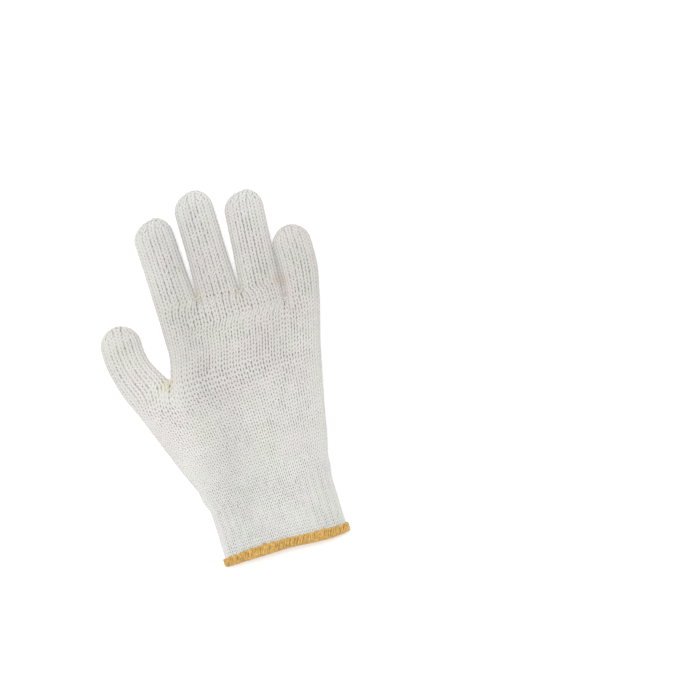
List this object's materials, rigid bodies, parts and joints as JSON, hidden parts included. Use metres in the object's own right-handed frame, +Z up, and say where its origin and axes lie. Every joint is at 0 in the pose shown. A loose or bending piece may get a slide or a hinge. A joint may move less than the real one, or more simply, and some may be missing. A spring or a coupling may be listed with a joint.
{
  "type": "knitted work glove",
  "caption": "Seamless cotton string-knit work glove lying flat and open, with spread finger stalls, a thumb, an elasticated rib cuff and an overlocked hem",
  "frame": {"origin": "on the surface that the glove lies on, under the middle of its bounding box", "axes": "+Y from the cuff to the fingertips along the cuff's axis, +X across the palm from the thumb to the little finger, +Z up through the thickness"},
  "size_m": [0.1508, 0.2374, 0.0191],
  "materials": {
    "bleached_cotton_knit": "matte natural cotton, plain jersey knit in thick yarn",
    "elastic_cotton_rib": "matte natural cotton knitted with elastic, drawn in to narrow ribs",
    "amber_overlock_thread": "matte yellow overlock thread, close wraps"
  },
  "bodies": {
    "root": {"palm_shell": "bleached_cotton_knit", "thumb_stall": "bleached_cotton_knit", "index_stall": "bleached_cotton_knit", "middle_stall": "bleached_cotton_knit", "ring_stall": "bleached_cotton_knit", "little_stall": "bleached_cotton_knit", "wrist_cuff": "elastic_cotton_rib", "cuff_overlock": "amber_overlock_thread"}
  },
  "joints": []
}
